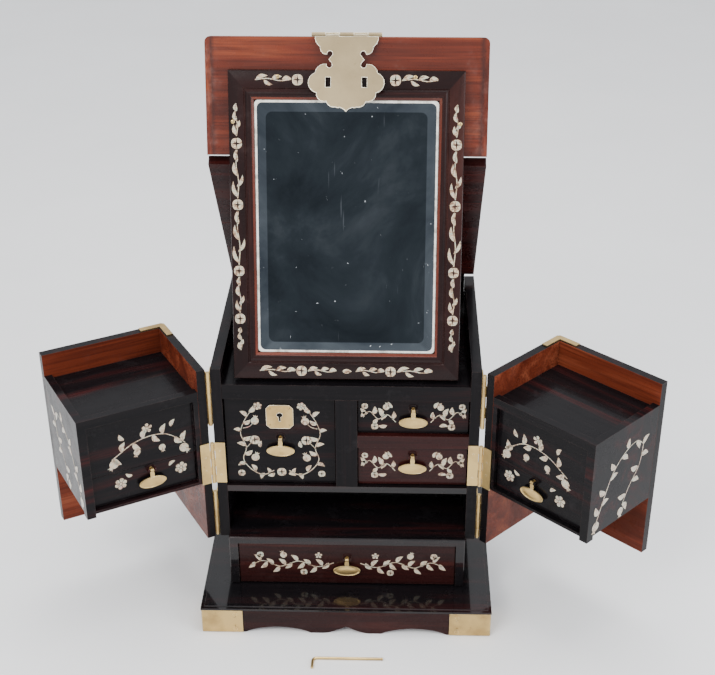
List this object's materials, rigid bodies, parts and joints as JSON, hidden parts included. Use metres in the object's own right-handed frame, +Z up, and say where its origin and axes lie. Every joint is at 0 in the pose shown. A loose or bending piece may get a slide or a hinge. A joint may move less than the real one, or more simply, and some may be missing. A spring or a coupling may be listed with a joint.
{
  "type": "jewelry armoire",
  "caption": "Fold-out tabletop jewelry and vanity box in inlaid dark hardwood: a drawer carcass, hinged drawer wings, a folding lid mirror, hasp and lock pin.",
  "frame": {"origin": "on the floor, on the centre plane, straight below the line joining the two wing hinge pins", "axes": "+Z up, +Y towards the back, +X to the right seen from the front"},
  "size_m": [0.7094, 0.386, 0.6731],
  "materials": {
    "black_lacquer": "gloss",
    "maroon_wood": "gloss",
    "red_wood": "satin",
    "brass": "satin",
    "antique_brass": "satin",
    "mirror_glass": "gloss"
  },
  "bodies": {
    "carcass": {"back_panel": "black_lacquer", "base_apron": "maroon_wood", "base_top": "black_lacquer", "cap_left": "brass", "cap_right": "brass", "divider": "black_lacquer", "hinge_foot_left_fixed": "brass", "hinge_foot_right_fixed": "brass", "hinge_mid_left_fixed": "brass", "hinge_mid_right_fixed": "brass", "hinge_top_left_fixed": "brass", "hinge_top_right_fixed": "brass", "lid_hinge_fixed": "antique_brass", "mid_rail": "maroon_wood", "pedestal": "black_lacquer", "side_left": "black_lacquer", "side_right": "black_lacquer", "tier_floor": "black_lacquer", "top_board": "maroon_wood"},
    "wing_left": {"wing_left_side": "red_wood", "wing_left_front": "red_wood", "wing_left_cabinet": "black_lacquer", "wing_left_bracket": "brass", "wing_left_staple": "brass", "hinge_top_left_moving": "brass", "hinge_mid_left_moving": "brass", "hinge_foot_left_moving": "brass"},
    "wing_right": {"wing_right_side": "red_wood", "wing_right_front": "red_wood", "wing_right_cabinet": "black_lacquer", "wing_right_bracket": "brass", "wing_right_staple": "brass", "hinge_top_right_moving": "brass", "hinge_mid_right_moving": "brass", "hinge_foot_right_moving": "brass"},
    "drawer_tall": {"drawer_tall": "maroon_wood", "escutcheon": "brass"},
    "drawer_tall_pull": {"drawer_tall_pull": "brass"},
    "drawer_upper": {"drawer_upper": "maroon_wood"},
    "drawer_upper_pull": {"drawer_upper_pull": "brass"},
    "drawer_lower": {"drawer_lower": "maroon_wood"},
    "drawer_lower_pull": {"drawer_lower_pull": "brass"},
    "drawer_base": {"drawer_base": "maroon_wood"},
    "drawer_base_pull": {"drawer_base_pull": "brass"},
    "wing_left_drawer": {"wing_left_drawer": "maroon_wood"},
    "wing_left_drawer_pull": {"wing_left_drawer_pull": "brass"},
    "wing_right_drawer": {"wing_right_drawer": "maroon_wood"},
    "wing_right_drawer_pull": {"wing_right_drawer_pull": "brass"},
    "mirror_foot": {"foot_strip": "maroon_wood"},
    "mirror": {"mirror_frame": "black_lacquer", "mirror_glass": "mirror_glass", "lid_front": "red_wood", "fold_hinge_front": "antique_brass", "hasp_bar": "antique_brass"},
    "lid_rear": {"lid_rear": "red_wood", "fold_hinge_rear": "antique_brass", "lid_hinge_moving": "antique_brass"},
    "hasp": {"hasp_plate": "antique_brass"},
    "lock_pin": {"lock_pin": "antique_brass"}
  },
  "joints": [
    {"name": "wing_left_hinge", "type": "hinge", "parent": "carcass", "child": "wing_left", "pos_m": [-0.1552, 0, 0.2], "axis": [0, 0, 1], "range_deg": [0, 150.8]},
    {"name": "wing_right_hinge", "type": "hinge", "parent": "carcass", "child": "wing_right", "pos_m": [0.1552, 0, 0.2], "axis": [0, 0, -1], "range_deg": [0, 136.6]},
    {"name": "drawer_tall_slide", "type": "slide", "parent": "carcass", "child": "drawer_tall", "axis": [0, 1, 0], "range_m": [-0.15, 0]},
    {"name": "drawer_tall_pull_hinge", "type": "hinge", "parent": "drawer_tall", "child": "drawer_tall_pull", "pos_m": [-0.0765, 0.0031, 0.232], "axis": [1, 0, 0], "range_deg": [-80, 0]},
    {"name": "drawer_upper_slide", "type": "slide", "parent": "carcass", "child": "drawer_upper", "axis": [0, 1, 0], "range_m": [-0.15, 0]},
    {"name": "drawer_upper_pull_hinge", "type": "hinge", "parent": "drawer_upper", "child": "drawer_upper_pull", "pos_m": [0.0765, 0.0031, 0.2725], "axis": [1, 0, 0], "range_deg": [-80, 0]},
    {"name": "drawer_lower_slide", "type": "slide", "parent": "carcass", "child": "drawer_lower", "axis": [0, 1, 0], "range_m": [-0.15, 0]},
    {"name": "drawer_lower_pull_hinge", "type": "hinge", "parent": "drawer_lower", "child": "drawer_lower_pull", "pos_m": [0.0765, 0.0031, 0.2095], "axis": [1, 0, 0], "range_deg": [-80, 0]},
    {"name": "drawer_base_slide", "type": "slide", "parent": "carcass", "child": "drawer_base", "axis": [0, 1, 0], "range_m": [-0.15, 0]},
    {"name": "drawer_base_pull_hinge", "type": "hinge", "parent": "drawer_base", "child": "drawer_base_pull", "pos_m": [0, -0.0195, 0.0765], "axis": [1, 0, 0], "range_deg": [-80, 0]},
    {"name": "wing_left_drawer_slide", "type": "slide", "parent": "wing_left", "child": "wing_left_drawer", "axis": [-0.4879, 0.8729, 0], "range_m": [-0.046, 0]},
    {"name": "wing_left_drawer_pull_hinge", "type": "hinge", "parent": "wing_left_drawer", "child": "wing_left_drawer_pull", "pos_m": [-0.22107, -0.0328, 0.211], "axis": [0.8729, 0.4879, 0], "range_deg": [-80, 0]},
    {"name": "wing_right_drawer_slide", "type": "slide", "parent": "wing_right", "child": "wing_right_drawer", "axis": [0.6871, 0.7266, 0], "range_m": [-0.046, 0]},
    {"name": "wing_right_drawer_pull_hinge", "type": "hinge", "parent": "wing_right_drawer", "child": "wing_right_drawer_pull", "pos_m": [0.21101, -0.04796, 0.211], "axis": [0.7266, -0.6871, 0], "range_deg": [-80, 0]},
    {"name": "mirror_foot_slide", "type": "slide", "parent": "carcass", "child": "mirror_foot", "axis": [0, 0.9962, 0.0871], "range_m": [0, 0.2228]},
    {"name": "mirror_tilt", "type": "hinge", "parent": "mirror_foot", "child": "mirror", "pos_m": [0, 0.01815, 0.3073], "axis": [1, 0, 0], "range_deg": [0, 104.6]},
    {"name": "lid_fold", "type": "hinge", "parent": "mirror", "child": "lid_rear", "pos_m": [0, 0.09392, 0.54384], "axis": [-1, 0, 0], "range_deg": [0, 51.43]},
    {"name": "hasp_hinge", "type": "hinge", "parent": "mirror", "child": "hasp", "pos_m": [0, 0.11176, 0.67105], "axis": [-1, 0, 0], "range_deg": [0, 70.5]},
    {"name": "lock_pin_lift", "type": "slide", "parent": "carcass", "child": "lock_pin", "axis": [0, -0.1116, 0.9938], "range_m": [0, 0.2742]}
  ],
  "couplings": [
    {"joint": "mirror_foot_slide", "follows": "mirror_tilt", "m_per_rad": 0.12199},
    {"joint": "lid_fold", "follows": "mirror_tilt", "ratio": 0.49121}
  ]
}
